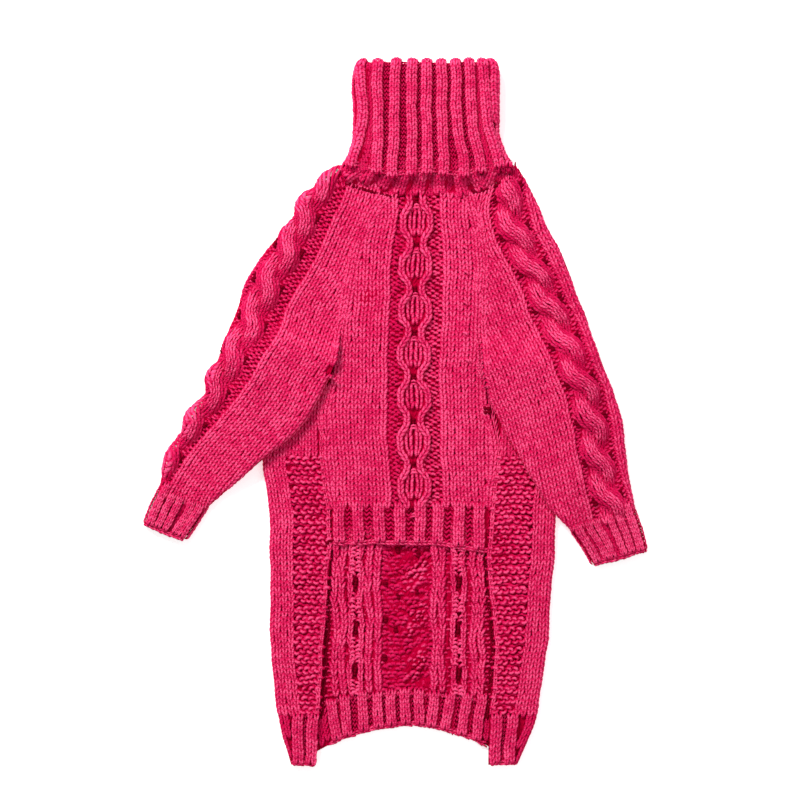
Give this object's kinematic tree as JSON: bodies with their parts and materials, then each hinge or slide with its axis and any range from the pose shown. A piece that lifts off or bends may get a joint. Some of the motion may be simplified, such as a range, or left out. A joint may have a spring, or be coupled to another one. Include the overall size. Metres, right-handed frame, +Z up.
{
  "type": "dog sweater, laid flat",
  "caption": "Hand-knitted raglan dog sweater in bright raspberry wool, laid flat belly side up, with cabled sleeves, a lattice cable and a turned-down rib collar.",
  "frame": {"origin": "middle of the underside of the whole garment's box, on the surface it lies on", "axes": "+Y from the hem towards the collar, +X towards the garment's side at the right when seen from above, +Z up from the surface"},
  "size_m": [0.353, 0.4924, 0.0158],
  "materials": {
    "knit": "matte wool yarn in stocking stitch, cables and garter ridges, soft sheen",
    "rib": "matte wool yarn in 2 by 2 rib, soft sheen"
  },
  "bodies": {
    "root": {"back": "knit", "back_hem": "rib", "belly": "knit", "belly_hem": "rib", "sleeve_left": "knit", "sleeve_right": "knit", "cuff_left": "rib", "cuff_right": "rib", "collar": "rib"}
  },
  "joints": []
}
